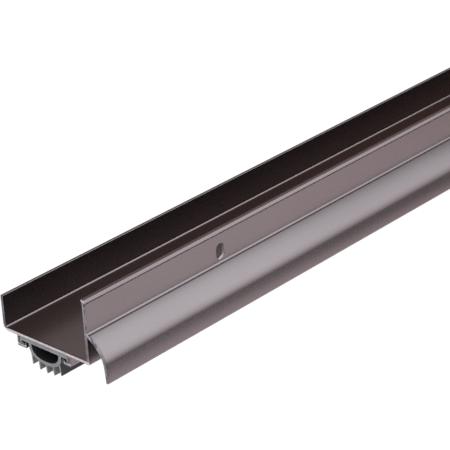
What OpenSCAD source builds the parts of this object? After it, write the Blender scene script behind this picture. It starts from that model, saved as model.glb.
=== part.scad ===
// U-shaped door bottom sweep, in two pieces that come apart by sliding: an extruded aluminium
// channel with a rain drip, and a finned vinyl seal held in two races under the channel's base.
//
// Millimetres. X runs along the sweep, -Y is the weather side with the drip, +Y is the room
// side, and +Z is up. The origin is the middle of the seat face, the top of the channel's
// base, where the bottom edge of the door rests.

/* [Length] */
// Overall length of the channel and its seal
sweep_l = 914.4; // [610:1:1220]

/* [Channel] */
// Clear width between the legs, for a 44.45 mm door and its clearance
channel_w = 46; // [40:0.5:60]
// Thickness of the base and of both legs
wall = 1.4; // [1:0.1:2]
// Height of the weather-side leg above the seat face
front_h = 26.7; // [26.2:0.5:40.2]
// Height of the room-side leg above the seat face
back_h = 14.1; // [8:0.1:26]
// Inside radius of the corner between the base and the room-side leg
corner_r = 1.1; // [0.5:0.1:2]
// Outside radius of that corner
corner_out_r = 2.8; // [2:0.1:3.2]

/* [Weather-side leg] */
// Width of the flat on top of the leg, counted from the leg's inner face
top_flat = 1.25; // [0.5:0.05:1.3]
// Reach of the small lip that widens the leg's top inwards
top_lip = 0.5; // [0.1:0.05:0.5]
// Height over which that lip swells out
top_lip_h = 1.6; // [1:0.1:2.5]
// Height of the bevel that slopes out below that flat
bevel_h = 1.3; // [0.8:0.05:2.5]
// Reach of the bevel's lower edge from the leg's outer face
bevel_reach = 0.4; // [0.1:0.05:0.6]
// Depth of the fine shadow groove that runs under the bevel
groove_d = 0.35; // [0.1:0.05:0.4]
// Height of that groove
groove_h = 0.7; // [0.2:0.05:0.8]

/* [Screw slots] */
// Width of each upright adjusting slot
slot_w = 4.6; // [3.5:0.1:6]
// End-to-end height of each slot
slot_h = 7; // [6.5:0.1:8]
// Height of the slot centres above the seat face
slot_z = 16.9; // [16.9:0.1:18]
// Distance from each end of the sweep to its nearest slot
slot_end = 76.2; // [40:0.1:120]
// Number of slots, spread evenly along the sweep
slot_n = 4; // [3:1:6]

/* [Rain drip] */
// Height at which the drip leaves the leg
drip_z = 12.4; // [11.5:0.1:12.5]
// Height at which the sloping bead over the drip leaves the leg
bead_z = 12.5; // [12.4:0.05:12.8]
// Height of that bead's slope
bead_h = 0.5; // [0.3:0.05:0.7]
// Reach of the bead from the leg
bead_t = 0.45; // [0.3:0.05:0.6]
// Thickness of the drip
drip_t = 1.25; // [0.8:0.05:1.6]
// Fall of the drip below level, in degrees, at its root
drip_root_a = 30; // [20:1:36]
// Fall at the end of the crowned upper part
drip_crown_a = 54; // [46:1:60]
// Fall at the end of the bend, where the nearly flat skirt starts
drip_skirt_a = 82; // [76:0.5:85]
// Fall at the skirt's tip
drip_tip_a = 88.5; // [87:0.5:92]
// Outer radius of the crowned upper part
drip_crown_r = 23; // [20:0.5:26]
// Outer radius of the bend between the crown and the skirt
drip_bend_r = 11; // [8:0.5:13]
// Length of the skirt along its gentle curve
drip_skirt_l = 7.5; // [3:0.1:8]

/* [Seal races] */
// Distance from the channel's mid-plane to the outer face of the room-side race
race_back = 16.7; // [16:0.1:19]
// Distance from the channel's mid-plane to the outer face of the weather-side race
race_front = 13.5; // [12.5:0.1:16]
// Thickness of the race walls and lips
race_t = 1.2; // [0.9:0.1:1.5]
// Depth of the races below the seat face
race_depth = 5.95; // [5.8:0.05:7]
// Width of the mouth between the two lips
mouth_w = 21.2; // [20:0.1:22]
// Height of the upturned hook on each lip
hook_h = 1.1; // [0.7:0.1:1.4]
// Thickness of each hook
hook_t = 0.9; // [0.6:0.1:1]

/* [Seal] */
// Running clearance between the seal and its races
seal_gap = 0.25; // [0.15:0.05:0.3]
// Thickness of the seal's backing strip
strip_t = 1.45; // [1.2:0.05:1.7]
// Thickness of the feet at the strip's edges
foot_t = 0.8; // [0.5:0.1:1]
// Half the outer width of the bulb
bulb_half = 9.2; // [8.5:0.1:9.4]
// Depth of the bulb below the strip
bulb_depth = 6.75; // [6:0.05:8]
// Thickness of the bulb's skin
bulb_t = 1.5; // [1.2:0.1:1.9]
// Number of wiping fins
fin_n = 5; // [3:1:5]
// Distance between neighbouring fins at their roots
fin_root_pitch = 3.85; // [3:0.05:3.9]
// Distance between neighbouring fins at their tips
fin_tip_pitch = 4.05; // [3:0.05:4.3]
// Depth of the middle fin's tip below the strip
fin_depth = 10.4; // [9:0.1:11]
// Radius of the arc that the fin tips follow
fin_arc_r = 22; // [18:1:40]
// Sideways set of the fin tips towards the weather side
fin_set = 0.5; // [0:0.1:1]
// Thickness of a fin at its root
fin_root_t = 0.95; // [0.6:0.05:1.1]
// Thickness of a fin at its tip
fin_tip_t = 0.4; // [0.3:0.05:0.6]

/* [Hidden] */
$fn = 96;

CUT = 1;                                     // overrun of a cutting tool past a face
TOP_EDGE = 0.3;                              // upright edge of the lip on the leg's top
front_y = -channel_w / 2;                    // inner face of the weather-side leg
back_y = channel_w / 2;                      // inner face of the room-side leg
race_top = -wall;                            // underside of the base
lip_top = -race_depth + race_t;              // upper face of both lips
race_mid = (race_back - race_front) / 2;     // middle of the two races
mouth_mid = race_mid - 0.5;                  // middle of the mouth, where the bulb hangs
mouth_back = mouth_mid + mouth_w / 2;
mouth_front = mouth_mid - mouth_w / 2;
strip_top = race_top - seal_gap;
strip_bottom = strip_top - strip_t;
foot_back = race_back - race_t - seal_gap;   // outer faces of the two feet
foot_front = -race_front + race_t + seal_gap;
foot_bottom = lip_top + seal_gap;
foot_curl = 1.2;                             // inward curl of the room-side foot
foot_curl_t = 0.5;
hollow_rise = 0.1;                           // the hollow runs this far up into the strip
BULB_POWER = 2.4;                            // 2 is an ellipse; more is fuller at the shoulders
BULB_STEPS = 36;
ARC_STEP = 3;                                // degrees between the points of the drip's arcs

// ---- shared helpers -------------------------------------------------------------------------

// Extrudes a Y-Z outline along the sweep.
module along_sweep(length = sweep_l)
    rotate([90, 0, 90]) linear_extrude(height = length, center = true) children();

// A rectangle between two corners.
module box2d(y0, z0, y1, z1)
    translate([min(y0, y1), min(z0, z1)]) square([abs(y1 - y0), abs(z1 - z0)]);

// The outward normal and the running direction of the drip where it falls by angle a.
function drip_normal(a) = [-sin(a), cos(a)];
function drip_run(a) = [-cos(a), -sin(a)];

// Points of an arc about c, from fall a0 to fall a1.
function fall_arc(c, r, a0, a1) =
    [for (a = [a0 : (a1 - a0) / ceil((a1 - a0) / ARC_STEP) : a1]) c + r * drip_normal(a)];

// ---- channel --------------------------------------------------------------------------------

// A trough open at the top, square at the weather side and rounded by r at the room side.
module trough(y0, y1, z0, z1, r) {
    box2d(y0, z0, y1 - r, z1);
    box2d(y0, z0 + r, y1, z1);
    translate([y1 - r, z0 + r]) circle(r = r);
}

module legs_profile()
    difference() {
        trough(front_y - wall, back_y + wall, -wall, back_h, corner_out_r);
        trough(front_y, back_y, 0, back_h + CUT, corner_r);
    }

module front_leg_profile()
    difference() {
        polygon([[front_y - wall, -wall], [front_y, -wall], [front_y, front_h - top_lip_h],
                 [front_y + top_lip, front_h - TOP_EDGE], [front_y + top_lip, front_h],
                 [front_y - top_flat, front_h],
                 [front_y - wall - bevel_reach, front_h - bevel_h],
                 [front_y - wall, front_h - bevel_h]]);
        box2d(front_y - wall - CUT, front_h - bevel_h - groove_h,
              front_y - wall + groove_d, front_h - bevel_h);
    }

// A small ridge that slopes out from the leg and ends inside the drip's root.
module bead_profile() {
    face = front_y - wall;
    low = bead_z - bead_h;
    polygon([[face + wall / 2, bead_z], [face, bead_z], [face - bead_t, low],
             [face - bead_t, low - drip_t / 3], [face + wall / 2, low - drip_t / 3]]);
}

// The crowned part, the bend and the skirt run on from one another without a step. The
// outline starts inside the leg, so that the drip and the leg are one.
module drip_profile() {
    root = [front_y - wall, drip_z];
    inside = -wall / 2 * drip_run(drip_root_a);
    crown_c = root - drip_crown_r * drip_normal(drip_root_a);
    bend_c = crown_c + (drip_crown_r - drip_bend_r) * drip_normal(drip_crown_a);
    skirt_r = drip_skirt_l * 180 / PI / (drip_tip_a - drip_skirt_a);
    skirt_c = bend_c - (skirt_r - drip_bend_r) * drip_normal(drip_skirt_a);
    last_bend_a = drip_skirt_a - ARC_STEP;
    outer = concat(fall_arc(crown_c, drip_crown_r, drip_root_a, drip_crown_a),
                   fall_arc(bend_c, drip_bend_r, drip_crown_a + ARC_STEP, last_bend_a),
                   fall_arc(skirt_c, skirt_r, drip_skirt_a, drip_tip_a));
    inner = concat(fall_arc(crown_c, drip_crown_r - drip_t, drip_root_a, drip_crown_a),
                   fall_arc(bend_c, drip_bend_r - drip_t, drip_crown_a + ARC_STEP, last_bend_a),
                   fall_arc(skirt_c, skirt_r - drip_t, drip_skirt_a, drip_tip_a));
    last = len(inner) - 1;
    polygon(concat([root + inside], outer, [for (i = [last : -1 : 0]) inner[i]],
                   [root - drip_t * drip_normal(drip_root_a) + inside]));
}

// One race: a wall from the base, a lip and its upturned hook. face is its outer face, tip
// the lip's end; both count from the channel's mid-plane, and side is +1 or -1.
module race_profile(face, tip, side) {
    box2d(face, race_top + wall / 2, face - side * race_t, -race_depth);
    box2d(face, lip_top, tip, -race_depth);
    box2d(tip + side * hook_t, lip_top + hook_h, tip, -race_depth);
}

module channel_profile() {
    legs_profile();
    front_leg_profile();
    bead_profile();
    drip_profile();
    race_profile(race_back, mouth_back, 1);
    race_profile(-race_front, mouth_front, -1);
}

// An upright round-ended slot through the weather-side leg, centred on the origin.
module screw_slot() {
    straight = slot_h - slot_w;
    depth = wall + 2 * CUT;
    for (side = [-1, 1])
        translate([0, 0, side * straight / 2]) rotate([90, 0, 0])
            cylinder(d = slot_w, h = depth, center = true);
    cube([slot_w, depth, straight], center = true);
}

module channel() {
    slot_step = (sweep_l - 2 * slot_end) / (slot_n - 1);
    color([0.33, 0.29, 0.3]) difference() {
        along_sweep() channel_profile();
        for (i = [0 : slot_n - 1])
            translate([slot_end - sweep_l / 2 + i * slot_step, front_y - wall / 2, slot_z])
                screw_slot();
    }
}

// ---- seal -----------------------------------------------------------------------------------

// Depth, as a share of the whole, of the bulb's curve at share u of its half width.
function bulb_share(u) = pow(max(0, 1 - pow(abs(u), BULB_POWER)), 1 / BULB_POWER);

// The lower half of a full-shouldered ellipse about the strip's underside, carried up by rise.
module bulb_curve(half, depth, rise)
    polygon(concat([[-half, rise]], [for (i = [0 : BULB_STEPS])
        let (a = 180 * i / BULB_STEPS,
             u = -sign(cos(a)) * pow(abs(cos(a)), 2 / BULB_POWER),
             v = pow(abs(sin(a)), 2 / BULB_POWER))
        [half * u, -depth * v]], [[half, rise]]));

// A tapered wiping fin, i places from the middle one, whose root sits in the bulb's skin.
module fin_profile(i) {
    root_y = i * fin_root_pitch;
    root_z = bulb_t / 2 - bulb_depth * bulb_share(root_y / bulb_half);
    tip_y = i * fin_tip_pitch - fin_set;
    tip_z = fin_arc_r - fin_depth - sqrt(pow(fin_arc_r, 2) - pow(i * fin_tip_pitch, 2));
    polygon([[root_y + fin_root_t / 2, root_z], [root_y - fin_root_t / 2, root_z],
             [tip_y - fin_tip_t / 2, tip_z], [tip_y + fin_tip_t / 2, tip_z]]);
}

module fins_profile() {
    outermost = (fin_n - 1) / 2;
    for (i = [-outermost : outermost])
        fin_profile(i);
}

module feet_profile() {
    box2d(foot_back, strip_top, foot_back - foot_t, foot_bottom);
    box2d(foot_back, foot_bottom + foot_curl_t, foot_back - foot_t - foot_curl, foot_bottom);
    box2d(foot_front, strip_top, foot_front + foot_t, foot_bottom);
}

module seal_profile() {
    difference() {
        union() {
            box2d(foot_front, strip_bottom, foot_back, strip_top);
            feet_profile();
            translate([mouth_mid, strip_bottom]) {
                bulb_curve(bulb_half, bulb_depth, strip_t / 2);
                fins_profile();
            }
        }
        translate([mouth_mid, strip_bottom])
            bulb_curve(bulb_half - bulb_t, bulb_depth - bulb_t, hollow_rise);
    }
}

module seal()
    color([0.55, 0.56, 0.6]) along_sweep() seal_profile();

channel();
seal();
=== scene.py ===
import math

import bmesh
import bpy
from mathutils import Matrix, Vector
from mathutils.geometry import delaunay_2d_cdt


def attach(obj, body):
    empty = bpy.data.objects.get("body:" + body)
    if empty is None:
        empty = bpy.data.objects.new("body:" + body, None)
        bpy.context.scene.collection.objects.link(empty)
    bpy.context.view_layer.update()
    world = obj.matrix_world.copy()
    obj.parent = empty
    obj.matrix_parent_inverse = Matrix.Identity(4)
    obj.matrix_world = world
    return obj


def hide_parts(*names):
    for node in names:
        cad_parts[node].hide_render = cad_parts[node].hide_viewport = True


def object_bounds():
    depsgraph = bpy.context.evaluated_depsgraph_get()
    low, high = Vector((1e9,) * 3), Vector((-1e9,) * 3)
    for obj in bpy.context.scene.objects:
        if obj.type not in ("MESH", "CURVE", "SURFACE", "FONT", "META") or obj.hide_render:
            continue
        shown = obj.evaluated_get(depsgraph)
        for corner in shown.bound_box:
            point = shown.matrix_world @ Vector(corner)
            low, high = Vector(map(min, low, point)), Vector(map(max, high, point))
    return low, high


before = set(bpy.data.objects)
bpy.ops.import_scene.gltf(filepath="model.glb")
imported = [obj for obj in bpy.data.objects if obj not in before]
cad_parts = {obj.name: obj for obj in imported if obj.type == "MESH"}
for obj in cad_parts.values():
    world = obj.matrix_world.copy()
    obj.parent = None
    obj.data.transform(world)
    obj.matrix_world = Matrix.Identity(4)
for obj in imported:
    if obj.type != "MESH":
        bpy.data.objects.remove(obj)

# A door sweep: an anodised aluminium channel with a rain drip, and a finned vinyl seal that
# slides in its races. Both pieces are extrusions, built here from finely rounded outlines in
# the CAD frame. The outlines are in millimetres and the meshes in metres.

CAD_BOX = [list(corner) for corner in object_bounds()]
MM = 0.001

# ---- sizes shared with the CAD ---------------------------------------------------------------

LENGTH = 914.4
HALF = LENGTH / 2
WALL = 1.4
INNER_Y = 23.0                  # inner faces of both legs, either side of the mid-plane
OUTER_Y = INNER_Y + WALL
FRONT_H = 26.7
BACK_H = 14.1
CORNER_R = 1.1
CORNER_OUT_R = 2.8
TOP_FLAT = 1.25
TOP_LIP = 0.5
TOP_LIP_H = 1.6
BEVEL_H = 1.3
BEVEL_REACH = 0.4
GROOVE_D = 0.35
GROOVE_H = 0.7
SLOT_W = 4.6
SLOT_H = 7.0
SLOT_Z = 16.9
SLOT_XS = (-381.0, -127.0, 127.0, 381.0)
DRIP_Z = 12.4
BEAD_TOP = 12.5
BEAD_H = 0.5
BEAD_T = 0.45
DRIP_T = 1.25
DRIP_ROOT_A = 30.0
DRIP_CROWN_A = 54.0
DRIP_SKIRT_A = 82.0
DRIP_CROWN_R = 23.0
DRIP_TIP_A = 88.5
DRIP_BEND_R = 11.0
DRIP_SKIRT_L = 7.5
RACE_BACK = 16.7
RACE_FRONT = -13.5
RACE_T = 1.2
RACE_BOTTOM = -5.95
LIP_TOP = RACE_BOTTOM + RACE_T
HOOK_H = 1.1
HOOK_TOP = LIP_TOP + HOOK_H
HOOK_T = 0.9
MOUTH_BACK = 11.7
MOUTH_FRONT = -9.5
SEAL_GAP = 0.25
STRIP_T = 1.45
STRIP_BOTTOM = -WALL - SEAL_GAP - STRIP_T
FOOT_T = 0.8
FOOT_BACK = RACE_BACK - RACE_T - SEAL_GAP
FOOT_FRONT = RACE_FRONT + RACE_T + SEAL_GAP
FOOT_BOTTOM = LIP_TOP + SEAL_GAP
FOOT_CURL = 1.2
FOOT_CURL_T = 0.5
BULB_Y = (MOUTH_BACK + MOUTH_FRONT) / 2
BULB_HALF = 9.2
BULB_DEPTH = 6.75
BULB_T = 1.5
BULB_POWER = 2.4
FIN_PLACES = (2, 1, 0, -1, -2)
FIN_ROOT_PITCH = 3.85
FIN_TIP_PITCH = 4.05
FIN_DEPTH = 10.4
FIN_ARC_R = 22.0
FIN_SET = 0.5
FIN_ROOT_T = 0.95
FIN_TIP_T = 0.4

# ---- sizes of the fine detail that only the looks need ---------------------------------------

STRIP_TOP = -WALL - 0.06        # drawn closer to the base than in the CAD, so no dark gap shows
LIP_FACE = 0.3                  # upright face of the small lip on the tall leg's top
NOTCH_OUT = 0.03                # the crease under the bead is cut this far past it
NOTCH_DOWN = 0.1                # and this far down
ROOT_LEAD = 0.35                # the drip's underside runs on this far towards the leg
FIN_ROOT_R = 0.3
FIN_TIP_R = 0.17
FIN_CLEAR = 0.4                 # the bulb's own points stay this far from a fin's root
HOLLOW_TOP = STRIP_BOTTOM + 0.1
HOLLOW_R = 0.6
END_CHAMFER = 0.09              # the broken edge at both ends, under the smallest corner radius
SLOT_EASE = 0.16                # how far a slot's punched edge is rolled over
EASE_BEND = SLOT_EASE * 0.3     # the depth of the roll's middle ring
SLOT_PANEL = 5.0                # half the length of leg rebuilt round each slot
PANEL_LOW = BEAD_TOP + 0.2      # the strip of the leg that holds the slots
PANEL_HIGH = FRONT_H - BEVEL_H - GROOVE_H - 0.6

# ---- outline helpers -------------------------------------------------------------------------

ARC_POINTS = 6                  # segments in each small rounded corner
EDGE_SHARE = 0.48               # the most of an edge that one rounding may use
NEARLY_STRAIGHT = 88.0          # a corner with a wider half angle than this stays as it is
LEAST_MITRE = -0.5              # limits how far a sharp corner moves when an outline is inset


def fall(angle):
    """The drip's outward normal where it falls by angle degrees."""
    a = math.radians(angle)
    return Vector((-math.sin(a), math.cos(a)))


def fall_arc(centre, radius, start, end, steps):
    return [centre + radius * fall(start + (end - start) * i / steps) for i in range(steps + 1)]


def corner_arc(here, before, after, radius):
    """The arc that rounds one corner, given the two edges that lead away from it."""
    half = before.angle(after) / 2
    cut = min(radius / math.tan(half), EDGE_SHARE * before.length, EDGE_SHARE * after.length)
    radius = cut * math.tan(half)
    a, b = before.normalized(), after.normalized()
    centre = here + (a + b).normalized() * (radius / math.sin(half))
    first = here + a * cut - centre
    turn = first.angle_signed(here + b * cut - centre)
    return [centre + Matrix.Rotation(-turn * k / ARC_POINTS, 2) @ first
            for k in range(ARC_POINTS + 1)]


def rounded(corners):
    """A closed outline from (y, z, radius) corners, each rounded by an arc of that radius."""
    count = len(corners)
    out = []
    for i, (y, z, radius) in enumerate(corners):
        here = Vector((y, z))
        before = Vector(corners[i - 1][:2]) - here
        after = Vector(corners[(i + 1) % count][:2]) - here
        if radius <= 0 or before.angle(after) / 2 > math.radians(NEARLY_STRAIGHT):
            out.append(here)
        else:
            out += corner_arc(here, before, after, radius)
    return out


def signed_area(loop):
    return sum(loop[i - 1].x * p.y - p.x * loop[i - 1].y for i, p in enumerate(loop)) / 2


def anticlockwise(loop):
    return loop if signed_area(loop) > 0 else loop[::-1]


def inset(loop, distance):
    """The outline moved inwards, for an anticlockwise loop with its material inside."""
    out = []
    count = len(loop)
    for i, p in enumerate(loop):
        a = (p - loop[i - 1]).normalized()
        b = (loop[(i + 1) % count] - p).normalized()
        na, nb = Vector((-a.y, a.x)), Vector((-b.y, b.x))
        out.append(p + (na + nb) * (distance / (1 + max(LEAST_MITRE, na.dot(nb)))))
    return out


# ---- the channel's outline -------------------------------------------------------------------

CROWN_STEPS = 18                # segments in each of the drip's three arcs
BEND_STEPS = 20
SKIRT_STEPS = 10
OUTER_START = 1.6               # degrees past the root where the drip's two sides begin
INNER_START = 2.0
BEAD_CLEAR = 0.18               # the outer side begins this far past the bead
LEG_CLEAR = 0.3                 # and the inner side this far past the leg


def drip_outline():
    """The drip's inner side, its tip's two corners, and its outer side from the tip back up."""
    root = Vector((-OUTER_Y, DRIP_Z))
    crown = root - DRIP_CROWN_R * fall(DRIP_ROOT_A)
    bend = crown + (DRIP_CROWN_R - DRIP_BEND_R) * fall(DRIP_CROWN_A)
    skirt_r = DRIP_SKIRT_L / math.radians(DRIP_TIP_A - DRIP_SKIRT_A)
    skirt = bend - (skirt_r - DRIP_BEND_R) * fall(DRIP_SKIRT_A)
    normal = fall(DRIP_TIP_A)
    tip = skirt + skirt_r * normal

    def side(depth, start, clear):
        """The side that lies depth under the outer skin, where it is clear of the leg."""
        points = fall_arc(crown, DRIP_CROWN_R - depth, start, DRIP_CROWN_A, CROWN_STEPS)
        points += fall_arc(bend, DRIP_BEND_R - depth, DRIP_CROWN_A, DRIP_SKIRT_A, BEND_STEPS)[1:]
        points += fall_arc(skirt, skirt_r - depth, DRIP_SKIRT_A, DRIP_TIP_A, SKIRT_STEPS)[1:-1]
        return [p for p in points if p.x < -OUTER_Y - clear]

    outer = side(0.0, DRIP_ROOT_A + OUTER_START, BEAD_T + BEAD_CLEAR)
    inner = side(DRIP_T, DRIP_ROOT_A + INNER_START, LEG_CLEAR)
    return inner, tip - DRIP_T * normal, tip, outer[::-1]


def channel_outline():
    inner, tip_in, tip_out, outer = drip_outline()
    bevel_z = FRONT_H - BEVEL_H
    lip_y = -INNER_Y + TOP_LIP
    bead_y, bead_z = -OUTER_Y - BEAD_T, BEAD_TOP - BEAD_H
    root_in = inner[0] + (inner[0] - inner[1]).normalized() * ROOT_LEAD
    corners = [
        (lip_y, FRONT_H, 0.12), (lip_y, FRONT_H - LIP_FACE, 0.1),
        (-INNER_Y, FRONT_H - TOP_LIP_H, 0.5), (-INNER_Y, PANEL_HIGH, 0), (-INNER_Y, PANEL_LOW, 0),
        (-INNER_Y, 0, 0.3), (INNER_Y, 0, CORNER_R), (INNER_Y, BACK_H, 0.3),
        (OUTER_Y, BACK_H, 0.3), (OUTER_Y, -WALL, CORNER_OUT_R),
        (RACE_BACK, -WALL, 0.25), (RACE_BACK, RACE_BOTTOM, 0.35),
        (MOUTH_BACK, RACE_BOTTOM, 0.3), (MOUTH_BACK, HOOK_TOP, 0.3),
        (MOUTH_BACK + HOOK_T, HOOK_TOP, 0.3), (MOUTH_BACK + HOOK_T, LIP_TOP, 0.2),
        (RACE_BACK - RACE_T, LIP_TOP, 0.2), (RACE_BACK - RACE_T, -WALL, 0.15),
        (RACE_FRONT + RACE_T, -WALL, 0.15), (RACE_FRONT + RACE_T, LIP_TOP, 0.2),
        (MOUTH_FRONT - HOOK_T, LIP_TOP, 0.2), (MOUTH_FRONT - HOOK_T, HOOK_TOP, 0.3),
        (MOUTH_FRONT, HOOK_TOP, 0.3), (MOUTH_FRONT, RACE_BOTTOM, 0.3),
        (RACE_FRONT, RACE_BOTTOM, 0.35), (RACE_FRONT, -WALL, 0.25),
        (-OUTER_Y, -WALL, 0.35), (-OUTER_Y, root_in.y, 0.4),
        *[(p.x, p.y, 0) for p in inner],
        (tip_in.x, tip_in.y, 0.3), (tip_out.x, tip_out.y, 0.3),
        *[(p.x, p.y, 0) for p in outer],
        (bead_y - NOTCH_OUT, bead_z - NOTCH_DOWN, 0.08), (bead_y, bead_z, 0.15),
        (-OUTER_Y, BEAD_TOP, 0.2), (-OUTER_Y, PANEL_LOW, 0), (-OUTER_Y, PANEL_HIGH, 0),
        (-OUTER_Y, bevel_z - GROOVE_H, 0.1), (-OUTER_Y + GROOVE_D, bevel_z - GROOVE_H, 0.06),
        (-OUTER_Y + GROOVE_D, bevel_z, 0.06), (-OUTER_Y - BEVEL_REACH, bevel_z, 0.1),
        (-INNER_Y - TOP_FLAT, FRONT_H, 0.25),
    ]
    return anticlockwise(rounded(corners))


# ---- the seal's outlines ---------------------------------------------------------------------

BULB_STEPS = 160
HOLLOW_STEPS = 60


def bulb_curve(half, depth, steps):
    """The bulb's curve from its back to its front, about the middle of its top."""
    out = []
    for i in range(steps + 1):
        a = math.pi * i / steps
        u = math.copysign(abs(math.cos(a)) ** (2 / BULB_POWER), math.cos(a))
        out.append(Vector((half * u, -depth * abs(math.sin(a)) ** (2 / BULB_POWER))))
    return out


def crossing(curve, a, b):
    """Index and point of the lowest place where the line a-b crosses the curve."""
    side = [(p - a).x * (b - a).y - (p - a).y * (b - a).x for p in curve]
    best = None
    for i in range(len(curve) - 1):
        if side[i] * side[i + 1] <= 0 and side[i] != side[i + 1]:
            t = side[i] / (side[i] - side[i + 1])
            p = curve[i].lerp(curve[i + 1], t)
            if best is None or p.y < best[1].y:
                best = (i, p)
    return best


def fin_sides(place):
    """A fin's back and its front, each from root to tip. Its place is counted from the middle."""
    root_y = place * FIN_ROOT_PITCH
    share = (1 - abs(root_y / BULB_HALF) ** BULB_POWER) ** (1 / BULB_POWER)
    root_z = BULB_T / 2 - BULB_DEPTH * share
    tip_y = place * FIN_TIP_PITCH - FIN_SET
    drop = math.sqrt(FIN_ARC_R ** 2 - (place * FIN_TIP_PITCH) ** 2)
    tip_z = FIN_ARC_R - FIN_DEPTH - drop
    back = [Vector((root_y + FIN_ROOT_T / 2, root_z)), Vector((tip_y + FIN_TIP_T / 2, tip_z))]
    front = [Vector((root_y - FIN_ROOT_T / 2, root_z)), Vector((tip_y - FIN_TIP_T / 2, tip_z))]
    return back, front


def bulb_and_fins():
    """Corners from the bulb's back shoulder to its front one, with the fins between."""
    curve = bulb_curve(BULB_HALF, BULB_DEPTH, BULB_STEPS)
    corners = []
    used = 0
    for place in FIN_PLACES:
        back, front = fin_sides(place)
        i, base_back = crossing(curve, *back)
        j, base_front = crossing(curve, *front)
        corners += [(p.x, p.y, 0) for p in curve[used:i + 1]
                    if (p - base_back).length > FIN_CLEAR]
        corners += [(base_back.x, base_back.y, FIN_ROOT_R), (back[1].x, back[1].y, FIN_TIP_R),
                    (front[1].x, front[1].y, FIN_TIP_R), (base_front.x, base_front.y, FIN_ROOT_R)]
        used = j + 1
        while (curve[used] - base_front).length < FIN_CLEAR:
            used += 1
    corners += [(p.x, p.y, 0) for p in curve[used:]]
    return [(y + BULB_Y, z + STRIP_BOTTOM, r) for y, z, r in corners]


def seal_outline():
    bulb = bulb_and_fins()
    shoulders = [(*bulb[i][:2], 0.3) for i in (0, -1)]
    curl_y = FOOT_BACK - FOOT_T - FOOT_CURL
    curl_z = FOOT_BOTTOM + FOOT_CURL_T
    corners = [
        (FOOT_FRONT, STRIP_TOP, 0.3), (FOOT_FRONT, FOOT_BOTTOM, 0.2),
        (FOOT_FRONT + FOOT_T, FOOT_BOTTOM, 0.2), (FOOT_FRONT + FOOT_T, STRIP_BOTTOM, 0.3),
        shoulders[1], *bulb[-2:0:-1], shoulders[0],
        (FOOT_BACK - FOOT_T, STRIP_BOTTOM, 0.3), (FOOT_BACK - FOOT_T, curl_z, 0.15),
        (curl_y, curl_z, 0.15), (curl_y, FOOT_BOTTOM, 0.15),
        (FOOT_BACK, FOOT_BOTTOM, 0.25), (FOOT_BACK, STRIP_TOP, 0.3),
    ]
    return anticlockwise(rounded(corners))


def hollow_outline():
    curve = bulb_curve(BULB_HALF - BULB_T, BULB_DEPTH - BULB_T, HOLLOW_STEPS)
    corners = [(curve[0].x + BULB_Y, HOLLOW_TOP, HOLLOW_R)]
    corners += [(p.x + BULB_Y, p.y + STRIP_BOTTOM, 0) for p in curve[1:-1]]
    corners.append((curve[-1].x + BULB_Y, HOLLOW_TOP, HOLLOW_R))
    return anticlockwise(rounded(corners))


# ---- meshes ----------------------------------------------------------------------------------

SKIN, CUT, INNER = 0, 1, 2      # each piece's materials: its outside, its ends, its holes
WELD_DISTANCE = 2e-6
SHARP_ANGLE = 50.0              # edges that bend by more degrees than this stay crisp
SAME = 1e-6


def weld(mesh):
    """Joins the caps and strips into one closed skin, facing outwards."""
    bm = bmesh.new()
    bm.from_mesh(mesh)
    bmesh.ops.remove_doubles(bm, verts=bm.verts, dist=WELD_DISTANCE)
    bmesh.ops.recalc_face_normals(bm, faces=bm.faces)
    bm.to_mesh(mesh)
    bm.free()


def mesh_object(name, verts, faces, materials, kinds):
    """One piece from points in millimetres, with the material slot of each face."""
    mesh = bpy.data.meshes.new(name)
    mesh.from_pydata([(x * MM, y * MM, z * MM) for x, y, z in verts], [], faces)
    for material in materials:
        mesh.materials.append(material)
    mesh.polygons.foreach_set("material_index", kinds)
    mesh.validate()
    weld(mesh)
    mesh.shade_smooth()
    mesh.set_sharp_from_angle(angle=math.radians(SHARP_ANGLE))
    obj = bpy.data.objects.new(name, mesh)
    bpy.context.scene.collection.objects.link(obj)
    even = obj.modifiers.new("even", "WEIGHTED_NORMAL")
    even.mode = "FACE_AREA"
    even.weight = 100
    even.keep_sharp = True
    return obj


def add_ring(verts, loop, x):
    """Adds an outline's points at x and returns the number of the first."""
    start = len(verts)
    verts.extend((x, p.x, p.y) for p in loop)
    return start


def filled(loops):
    """Triangles that fill the first loop round the others, numbered through all their points."""
    points = [p for loop in loops for p in loop]
    rings = []
    start = 0
    for loop in loops:
        numbers = list(range(start, start + len(loop)))
        rings.append(numbers if signed_area(loop) > 0 else numbers[::-1])
        start += len(loop)
    _, _, triangles, sources, _, owners = delaunay_2d_cdt(points, [], rings, 1, SAME)
    return [[sources[v][0] for v in corners] for corners, owner in zip(triangles, owners)
            if owner == [0]]


def panel_at(p, q, panels):
    """The name of the panel that runs from outline point p to q, if any."""
    heights = {round(p.y, 3), round(q.y, 3)}
    for name, y in panels:
        flat = abs(p.x - y) < SAME and abs(q.x - y) < SAME
        if flat and heights == {round(PANEL_LOW, 3), round(PANEL_HIGH, 3)}:
            return name
    return None


def slot_between(low, high):
    """The place of the slot midway between two stations, if there is one."""
    near = [x for x in SLOT_XS if abs(x - (low + high) / 2) < SLOT_PANEL]
    return near[0] if near else None


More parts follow.
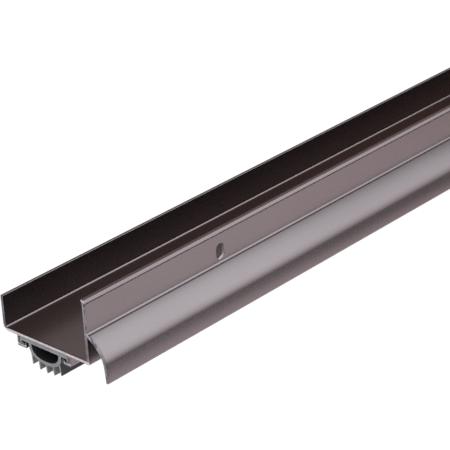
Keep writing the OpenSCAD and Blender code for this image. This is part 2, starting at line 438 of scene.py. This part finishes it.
def extrusion(name, loops, stations, materials, panels=()):
    """Sweeps closed loops along X: the first is the outer one, the others are holes in it.

    Each panel is (name, y): the leg's flat strip at that y, which cut_slot closes round a slot."""
    verts, faces, kinds, caps = [], [], [], []
    slots = {}
    xs = [stations[0], stations[0] + END_CHAMFER, *stations[1:-1],
          stations[-1] - END_CHAMFER, stations[-1]]
    last = len(xs) - 1
    for k, loop in enumerate(loops):
        loop = loop if k == 0 else loop[::-1]
        caps.append(inset(loop, END_CHAMFER))
        starts = [add_ring(verts, caps[k] if s in (0, last) else loop, x)
                  for s, x in enumerate(xs)]
        for s in range(last):
            a, b = starts[s], starts[s + 1]
            slot_x = slot_between(xs[s], xs[s + 1])
            for i in range(len(loop)):
                j = (i + 1) % len(loop)
                quad = [a + i, a + j, b + j, b + i]
                panel = panel_at(loop[i], loop[j], panels) if k == 0 else None
                if panel and slot_x is not None:
                    slots.setdefault(slot_x, {})[panel] = quad
                    continue
                faces.append(quad)
                kinds.append(CUT if s in (0, last - 1) else INNER if k else SKIN)
    triangles = filled(caps)
    for x, far in ((stations[0], False), (stations[-1], True)):
        base = len(verts)
        for cap in caps:
            add_ring(verts, cap, x)
        for corners in triangles:
            faces.append([base + v for v in (corners if far else corners[::-1])])
            kinds.append(CUT)
    for x, sides in slots.items():
        cut_slot(verts, faces, kinds, x, sides)
    return mesh_object(name, verts, faces, materials, kinds)


# ---- slots -----------------------------------------------------------------------------------

SLOT_ARC = 20                   # segments in each quarter turn of a slot's round ends
# rings from the leg's outer face to its inner one: place across the bar, growth in radius
SLOT_RINGS = (
    (-OUTER_Y, SLOT_EASE), (-OUTER_Y + EASE_BEND, EASE_BEND), (-OUTER_Y + SLOT_EASE, 0),
    (-INNER_Y - SLOT_EASE, 0), (-INNER_Y - EASE_BEND, EASE_BEND), (-INNER_Y, SLOT_EASE))
SHEARED_BAND = 2                # between the third and the fourth ring is the sheared wall


def slot_ring(x, grow):
    """A slot's outline: from its top by its low-X side to its bottom, and the way back up."""
    radius = SLOT_W / 2 + grow
    straight = (SLOT_H - SLOT_W) / 2
    left = []
    for start, middle_z in ((math.pi / 2, SLOT_Z + straight), (math.pi, SLOT_Z - straight)):
        for k in range(SLOT_ARC + 1):
            a = start + math.pi / 2 * k / SLOT_ARC
            left.append((x + radius * math.cos(a), middle_z + radius * math.sin(a)))
    right = [(2 * x - px, pz) for px, pz in left[-2:0:-1]]
    return left, right


def round_slot(verts, quad, x, left, right):
    """The faces that fill a panel round a slot, from the numbers of the slot's points."""
    corner = {(verts[v][0] > x, verts[v][2] > SLOT_Z): v for v in quad}
    top, bottom = left[0], left[-1]
    return [
        [corner[(False, True)], *left, corner[(False, False)]],
        [corner[(True, False)], bottom, *right, top, corner[(True, True)]],
        [corner[(False, True)], corner[(True, True)], top],
        [corner[(True, False)], corner[(False, False)], bottom],
    ]


def cut_slot(verts, faces, kinds, x, sides):
    """Opens one slot through the leg between its outer and inner panel."""
    starts = []
    for y, grow in SLOT_RINGS:
        left, right = slot_ring(x, grow)
        starts.append(len(verts))
        verts.extend((px, y, pz) for px, pz in left + right)
    count = len(left) + len(right)
    for band, (a, b) in enumerate(zip(starts, starts[1:])):
        for i in range(count):
            j = (i + 1) % count
            faces.append([a + i, b + i, b + j, a + j])
            kinds.append(INNER if band == SHEARED_BAND else SKIN)
    for name, start in (("outer", starts[0]), ("inner", starts[-1])):
        middle = start + len(left)
        left_side, right_side = range(start, middle), range(middle, start + count)
        for face in round_slot(verts, sides[name], x, left_side, right_side):
            faces.append(face if name == "inner" else face[::-1])
            kinds.append(SKIN)


# ---- material helpers ------------------------------------------------------------------------

class Tree:
    """Adds and links the nodes of one shader tree."""

    def __init__(self, tree):
        self.tree = tree

    def feed(self, socket, source):
        """Links a socket to another node's output, or sets its value."""
        if isinstance(source, bpy.types.NodeSocket):
            self.tree.links.new(source, socket)
        else:
            socket.default_value = source

    def add(self, kind, inputs, **settings):
        node = self.tree.nodes.new(kind)
        for key, value in settings.items():
            setattr(node, key, value)
        for socket, source in inputs.items():
            self.feed(node.inputs[socket], source)
        return node

    def maths(self, operation, first, second=0.0):
        return self.add("ShaderNodeMath", {0: first, 1: second}, operation=operation).outputs[0]

    def product(self, first, second):
        return self.maths("MULTIPLY", first, second)

    def spread(self, source, low, high, from_min=0.35, from_max=0.65, shape="LINEAR"):
        """Maps a value to low..high. The range it comes from is that of noise, unless given."""
        inputs = {"Value": source, "From Min": from_min, "From Max": from_max,
                  "To Min": low, "To Max": high}
        return self.add("ShaderNodeMapRange", inputs, interpolation_type=shape).outputs["Result"]

    def blend(self, factor, first, second):
        """Mixes two colours."""
        inputs = {"Factor": factor, 6: first, 7: second}
        return self.add("ShaderNodeMix", inputs, data_type="RGBA").outputs[2]


class Finish(Tree):
    """One material: its shader and the textures that drive it, in object coordinates."""

    def __init__(self, name):
        self.material = bpy.data.materials.new(name)
        self.material.use_nodes = True
        super().__init__(self.material.node_tree)
        self.shader = self.tree.nodes["Principled BSDF"]

    def shade(self, socket, source):
        """Sets one of the shader's own sockets, to a node's output or to a uniform value."""
        self.feed(self.shader.inputs[socket], source)

    def coordinates(self):
        return self.add("ShaderNodeTexCoord", {}).outputs["Object"]

    def place(self):
        """X, Y and Z on the object, in metres."""
        return self.add("ShaderNodeSeparateXYZ", {"Vector": self.coordinates()}).outputs

    def noise(self, fineness, detail=3.0):
        """Noise with a fineness of its own along each axis, in features per metre."""
        inputs = {"Vector": self.coordinates(), "Scale": fineness}
        vector = self.add("ShaderNodeMapping", inputs).outputs["Vector"]
        inputs = {"Vector": vector, "Scale": 1.0, "Detail": detail}
        return self.add("ShaderNodeTexNoise", inputs).outputs["Fac"]

    def bump(self, height, strength, distance):
        inputs = {"Height": height, "Strength": strength, "Distance": distance}
        self.shade("Normal", self.add("ShaderNodeBump", inputs).outputs["Normal"])


# ---- the channel's materials -----------------------------------------------------------------

NEAR_CUT_REACH = (1.0, 0.3)        # the darkening by the cut ends grows between these distances from them


def anodised():
    """Satin anodised aluminium: a fine grain over faint die lines, darker in flecks close to the
    cuts.
    """
    n = Finish("anodised_bronze")
    lines = n.noise((4, 500, 500))
    grain = n.noise((1600, 2600, 2600))
    cloud = n.noise((9, 30, 30), 2.0)
    burr = n.noise((500, 500, 500), 2.0)
    from_middle = n.maths("ABSOLUTE", n.place()["X"])
    begins, full = [(HALF - reach) * MM for reach in NEAR_CUT_REACH]
    near_cut_dark = n.product(n.spread(from_middle, 0, 1, begins, full),
                      n.spread(burr, 0.0, 0.75, 0.42, 0.58))
    bronze, pale_bronze = (0.076, 0.0605, 0.058, 1), (0.083, 0.0665, 0.064, 1)
    die_line, glint = (0.055, 0.0484, 0.0506, 1), (0.1155, 0.1045, 0.11, 1)
    near_cut_tone = (0.02, 0.017, 0.018, 1)
    tint = n.blend(n.spread(cloud, 0.0, 1.0), bronze, pale_bronze)
    tint = n.blend(n.spread(lines, 0.0, 0.10), tint, die_line)
    tint = n.blend(near_cut_dark, tint, near_cut_tone)
    n.shade("Base Color", n.blend(n.spread(grain, 0.0, 0.16), tint, glint))
    n.shade("Roughness", n.spread(grain, 0.25, 0.30))
    n.shade("Metallic", 1.0)
    n.shade("Specular Tint", (0.72, 0.56, 0.52, 1))
    n.bump(grain, 0.05, 0.00001)
    return n.material


# The bare cut's zones in the order they are laid on. Each is the heights it spans and the places
# across the bar, both as (low, high, softness) in millimetres, and its tone. The tones are painted
# light and shade on the one flat cut: painted highlight where the base, the lips, the tall leg's
# top and the drip's slope catch the light from above, painted shade on the races, the back leg, the
# tall leg's foot under the drip and the drip's skirt.
SHADED_CUT_TONE = (0.062, 0.053, 0.050, 1)
SAWN_LIGHT_AND_SHADE = {
    "base": ((-1.1, -0.2, 0.1), None, (0.45, 0.385, 0.355, 1)),
    "base_edge": ((-1.6, -1.1, 0.1), None, (0.21, 0.185, 0.172, 1)),
    "lips": ((-5.25, -4.6, 0.1), None, (0.37, 0.33, 0.31, 1)),
    "back_leg": ((0.9, 40, 0.8), (22, 40, 0.3), (0.060, 0.051, 0.048, 1)),
    "leg_foot": ((0.2, 11.6, 0.4), (-25, -20, 0.3), (0.080, 0.067, 0.063, 1)),
    "leg": ((11.4, 40, 0.3), (-26, -20, 0.3), (0.165, 0.143, 0.134, 1)),
    "leg_top": ((25.8, 40, 0.4), (-26, -20, 0.3), (0.33, 0.29, 0.27, 1)),
    "skirt": ((-20, 6.0, 1.4), (-40, -24.7, 0.2), (0.088, 0.075, 0.070, 1)),
    "slope": ((6.0, 12.6, 1.2), (-40, -24.5, 0.2), (0.25, 0.22, 0.21, 1)),
}
LEG_BURRS = ((12.6, 25.2, 0.3), (-24.6, -23.9, 0.15))
SLOPE_BURRS = ((6.5, 11.4, 0.4), (-40, -25.2, 0.2))


def band(n, source, low, high, soft):
    """1 between two places in millimetres, 0 outside."""
    rising = n.spread(source, 0, 1, (low - soft) * MM, (low + soft) * MM)
    falling = n.spread(source, 1, 0, (high - soft) * MM, (high + soft) * MM)
    return n.product(rising, falling)


def zone(n, place, heights, widths):
    """1 between two heights and, if there are widths, between two places across the bar."""
    mask = band(n, place["Z"], *heights)
    return n.product(mask, band(n, place["Y"], *widths)) if widths else mask


def sawn():
    """Bare aluminium left by the saw, with burrs, and painted light and shade: brightest where the
    cut crosses the base.
    """
    n = Finish("sawn_aluminium")
    place = n.place()
    marks = n.noise((200, 5200, 900))
    mottle = n.noise((500, 500, 500))
    torn = n.noise((300, 700, 420), 2.0)
    # painted shade under every zone, then each zone's painted highlight and shade
    tone = SHADED_CUT_TONE
    for heights, widths, painted_tone in SAWN_LIGHT_AND_SHADE.values():
        tone = n.blend(zone(n, place, heights, widths), tone, painted_tone)
    worn, saw_mark = (0.4125, 0.407, 0.4125, 1), (0.055, 0.0495, 0.055, 1)
    burr = (0.030, 0.026, 0.027, 1)
    tone = n.blend(n.spread(mottle, 0.0, 0.22), tone, worn)
    on_leg = n.product(zone(n, place, *LEG_BURRS), n.spread(torn, 0.0, 0.9, 0.45, 0.55))
    on_slope = n.product(zone(n, place, *SLOPE_BURRS), n.spread(torn, 0.0, 0.8, 0.47, 0.57))
    tone = n.blend(n.maths("MAXIMUM", on_leg, on_slope), tone, burr)
    n.shade("Base Color", n.blend(n.spread(marks, 0.0, 0.35), tone, saw_mark))
    n.shade("Roughness", n.spread(marks, 0.40, 0.55))
    n.shade("Metallic", 1.0)
    n.bump(marks, 0.2, 0.00002)
    return n.material


def punched():
    """Bright aluminium sheared by the punch, burnished in upright bands."""
    n = Finish("punched_aluminium")
    shear = n.noise((900, 120, 900), 2.0)
    glints = n.noise((700, 700, 700), 2.0)
    dull, bright, glint = (0.26, 0.22, 0.21, 1), (0.46, 0.395, 0.38, 1), (0.80, 0.70, 0.68, 1)
    tint = n.blend(n.spread(shear, 0.0, 1.0), dull, bright)
    n.shade("Base Color", n.blend(n.spread(glints, 0.0, 1.0, 0.56, 0.63), tint, glint))
    n.shade("Roughness", n.spread(glints, 0.72, 0.40))
    n.shade("Metallic", 1.0)
    n.bump(shear, 0.3, 0.00005)
    return n.material


# ---- the seal's materials --------------------------------------------------------------------

def vinyl():
    """Matt dark grey vinyl with faint flow lines along its length, and painted light low between
    the fins; the front fin keeps the dark tone as painted shade under the drip.
    """
    n = Finish("grey_vinyl")
    place = n.place()
    lines = n.noise((6, 700, 700))
    cloud = n.noise((60, 90, 90))
    # painted light on the fins' lower part, cut off before the front fin, which stays dark as
    # painted shade
    low = n.spread(place["Z"], 1, 0, -9.8 * MM, -8.6 * MM)
    inside = n.spread(place["Y"], 0, 1, -5.6 * MM, -5.2 * MM)
    dark, light, painted_fin_light, flow_line = ((0.0145, 0.0120, 0.0120, 1), (0.0195, 0.0165, 0.0160, 1),
                                     (0.070, 0.061, 0.058, 1), (0.011, 0.010, 0.0095, 1))
    tint = n.blend(n.spread(cloud, 0.0, 1.0), dark, light)
    tint = n.blend(n.product(low, inside), tint, painted_fin_light)
    n.shade("Base Color", n.blend(n.spread(lines, 0.0, 0.3), tint, flow_line))
    n.shade("Roughness", n.spread(cloud, 0.50, 0.60))
    n.shade("Specular IOR Level", 0.08)
    n.bump(lines, 0.15, 0.00003)
    return n.material


def shaded_hollow_vinyl():
    """The bulb's inner wall: smoother, with the die's flow lines, and darker as painted shade
    inside the hollow.
    """
    n = Finish("shaded_hollow_vinyl")
    lines = n.noise((6, 900, 900))
    cloud = n.noise((40, 120, 120), 2.0)
    # painted shade: the same vinyl, darkened inside the hollow
    dark, light, flow_line = ((0.0058, 0.0052, 0.0052, 1), (0.0094, 0.0084, 0.0084, 1),
                              (0.010, 0.009, 0.0088, 1))
    tint = n.blend(n.spread(cloud, 0.0, 1.0), dark, light)
    n.shade("Base Color", n.blend(n.spread(lines, 0.0, 0.4), tint, flow_line))
    n.shade("Roughness", n.spread(cloud, 0.45, 0.55))
    n.shade("Specular IOR Level", 0.06)
    n.bump(lines, 0.15, 0.00003)
    return n.material


def cut_vinyl():
    """The paler knife-cut ends of the vinyl."""
    n = Finish("cut_vinyl")
    drag = n.noise((300, 900, 2600))
    mottle = n.noise((500, 500, 500))
    dark, light, drag_mark = ((0.102, 0.093, 0.090, 1), (0.126, 0.115, 0.111, 1),
                              (0.088, 0.079, 0.075, 1))
    tint = n.blend(n.spread(mottle, 0.0, 1.0), dark, light)
    n.shade("Base Color", n.blend(n.spread(drag, 0.0, 0.35), tint, drag_mark))
    n.shade("Roughness", n.spread(drag, 0.6, 0.7))
    n.shade("Specular IOR Level", 0.2)
    n.bump(drag, 0.2, 0.00003)
    return n.material


# ---- the two pieces --------------------------------------------------------------------------

SEAL_PARTS = 12                 # lengths that the seal's long faces are divided into

channel_stations = [-HALF]
for slot_x in SLOT_XS:
    channel_stations += [slot_x - SLOT_PANEL, slot_x + SLOT_PANEL]
channel_stations.append(HALF)

channel = extrusion("channel_bar", [channel_outline()], channel_stations,
                    [anodised(), sawn(), punched()], (("outer", -OUTER_Y), ("inner", -INNER_Y)))
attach(channel, "channel")
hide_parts("channel")

seal_stations = [-HALF + LENGTH * i / SEAL_PARTS for i in range(SEAL_PARTS + 1)]
seal = extrusion("seal_strip", [seal_outline(), hollow_outline()], seal_stations,
                 [vinyl(), cut_vinyl(), shaded_hollow_vinyl()])
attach(seal, "seal")
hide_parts("seal")

# ---- floor -----------------------------------------------------------------------------------

FLOOR_Z = CAD_BOX[0][2] - 0.05 * MM
FLOOR_SIZE = 12.0


def pale_floor():
    """A plain white that no lamp alters: it glows evenly and reflects almost nothing."""
    n = Finish("pale_floor")
    n.shade("Base Color", (0.02, 0.02, 0.02, 1))
    n.shade("Roughness", 1.0)
    n.shade("Specular IOR Level", 0.0)
    n.shade("Emission Color", (1, 1, 1, 1))
    n.shade("Emission Strength", 1.0)
    return n.material


floor_mesh = bpy.data.meshes.new("floor")
floor_mesh.from_pydata([(x * FLOOR_SIZE, y * FLOOR_SIZE, FLOOR_Z)
                        for x, y in ((-1, -1), (1, -1), (1, 1), (-1, 1))], [], [(0, 1, 2, 3)])
floor_mesh.materials.append(pale_floor())
floor = bpy.data.objects.new("floor", floor_mesh)
bpy.context.scene.collection.objects.link(floor)
floor.visible_glossy = False
floor.visible_diffuse = False

# ---- studio light ----------------------------------------------------------------------------

DOME_STRENGTH = 7.0             # the dome's brightness where a stop's level is 1
BLACK = (0.0, 0.0, 0.0, 1)
# tints of the light
COOL = (0.90, 1.01, 1.10)
WARM = (1.0, 1.02, 1.12)
MILD = (0.94, 1.0, 1.09)
BROWN = (0.92, 1.0, 1.05)
# Each stop is (degrees above the horizon, level, tint). The front has a dark gap below the
# horizon, which draws the line along the drip's skirt.
FRONT_STOPS = (
    (-90, 0.42, WARM), (-34, 0.59, WARM), (-27, 0.53, WARM), (-23, 0.52, WARM),
    (-19, 0.10, WARM), (-16, 0.0, WARM), (-13, 0.05, WARM), (-5, 0.46, MILD),
    (6, 0.86, MILD), (24, 0.98, COOL), (45, 0.97, COOL), (70, 0.53, COOL), (90, 0.30, COOL))
BACK_STOPS = (
    (-90, 0.27, WARM), (-20, 0.27, WARM), (0, 0.20, BROWN), (15, 0.17, BROWN),
    (50, 0.17, BROWN), (90, 0.25, COOL))


def dome_ramp(dome, height, stops):
    """A colour against the height of the direction, -1 straight down to 1 straight up."""
    fraction = dome.spread(height, 0.0, 1.0, -1.0, 1.0)
    ramp = dome.add("ShaderNodeValToRGB", {"Fac": fraction})
    ramp.color_ramp.interpolation = "EASE"
    elements = ramp.color_ramp.elements
    while len(elements) > 1:
        elements.remove(elements[-1])
    for k, (degrees, level, tint) in enumerate(stops):
        position = (math.sin(math.radians(degrees)) + 1) / 2
        element = elements[0] if k == 0 else elements.new(position)
        element.position = position
        element.color = (*[level * part for part in tint], 1)
    return ramp.outputs["Color"]


def studio_dome():
    """A smooth dome of light: bright in front and above, dim behind and at both ends."""
    world = bpy.data.worlds.new("studio")
    bpy.context.scene.world = world
    world.use_nodes = True
    dome = Tree(world.node_tree)

    def ease(source, low, high, start=0.0, end=1.0):
        return dome.spread(source, start, end, low, high, "SMOOTHSTEP")

    direction = dome.add("ShaderNodeTexCoord", {}).outputs["Generated"]
    along, across, height = dome.add("ShaderNodeSeparateXYZ", {"Vector": direction}).outputs
    # the front's light ends towards the bar's far end and dims a little towards its near one
    side = dome.maths("ADD", along, dome.product(across, 0.25))
    far_shade = dome.product(ease(side, 0.575, 0.705), ease(height, -0.3, 0.0, 0.0, 0.88))
    near_shade = ease(side, 0.40, 0.49, 0.18, 0.0)
    front = dome.blend(dome.maths("MAXIMUM", far_shade, near_shade),
                       dome_ramp(dome, height, FRONT_STOPS), BLACK)
    light = dome.blend(ease(across, -0.40, 0.25), front, dome_ramp(dome, height, BACK_STOPS))
    end_shade = ease(dome.maths("ABSOLUTE", along), 0.80, 0.97, 0.0, 0.6)
    background = world.node_tree.nodes["Background"]
    dome.feed(background.inputs["Color"], dome.blend(end_shade, light, BLACK))
    dome.feed(background.inputs["Strength"], DOME_STRENGTH)


def overhead_light():
    """A broad area light that lights matt surfaces without showing in the metal."""
    place = Vector((-0.3, -0.4, 2.6))
    aim = Vector((-0.2, 0.0, 0.0))
    light = bpy.data.lights.new("overhead", "AREA")
    light.shape = "DISK"
    light.size = 3.0
    light.energy = 60
    obj = bpy.data.objects.new("overhead", light)
    obj.location = place
    obj.rotation_euler = (aim - place).to_track_quat("-Z", "Y").to_euler()
    obj.visible_glossy = False
    bpy.context.scene.collection.objects.link(obj)


studio_dome()
overhead_light()

# ---- camera ----------------------------------------------------------------------------------

AZIMUTH, ELEVATION = -46.504, 25.623    # degrees
ROLL = -0.05762                         # radians
EYE = Vector((-0.9122, -0.5319, 0.3809))
SENSOR_WIDTH, LENS = 36.0, 162.2        # millimetres


def camera_axes():
    """The camera's right, up and back directions."""
    az, el = math.radians(AZIMUTH), math.radians(ELEVATION)
    back = Vector((math.sin(az) * math.cos(el), -math.cos(az) * math.cos(el), math.sin(el)))
    level_right = (-back).cross(Vector((0, 0, 1))).normalized()
    level_up = level_right.cross(-back)
    right = math.cos(ROLL) * level_right + math.sin(ROLL) * level_up
    up = -math.sin(ROLL) * level_right + math.cos(ROLL) * level_up
    return right, up, back


camera_data = bpy.data.cameras.new("camera")
camera_data.sensor_width = SENSOR_WIDTH
camera_data.lens = LENS
camera_data.clip_start = 0.05
camera_data.clip_end = 60.0
camera = bpy.data.objects.new("camera", camera_data)
bpy.context.scene.collection.objects.link(camera)
columns = (*camera_axes(), EYE)
camera.matrix_world = Matrix([[column[i] for column in columns] for i in range(3)] + [[0, 0, 0, 1]])
bpy.context.scene.camera = camera
bpy.context.scene.view_settings.view_transform = "Standard"
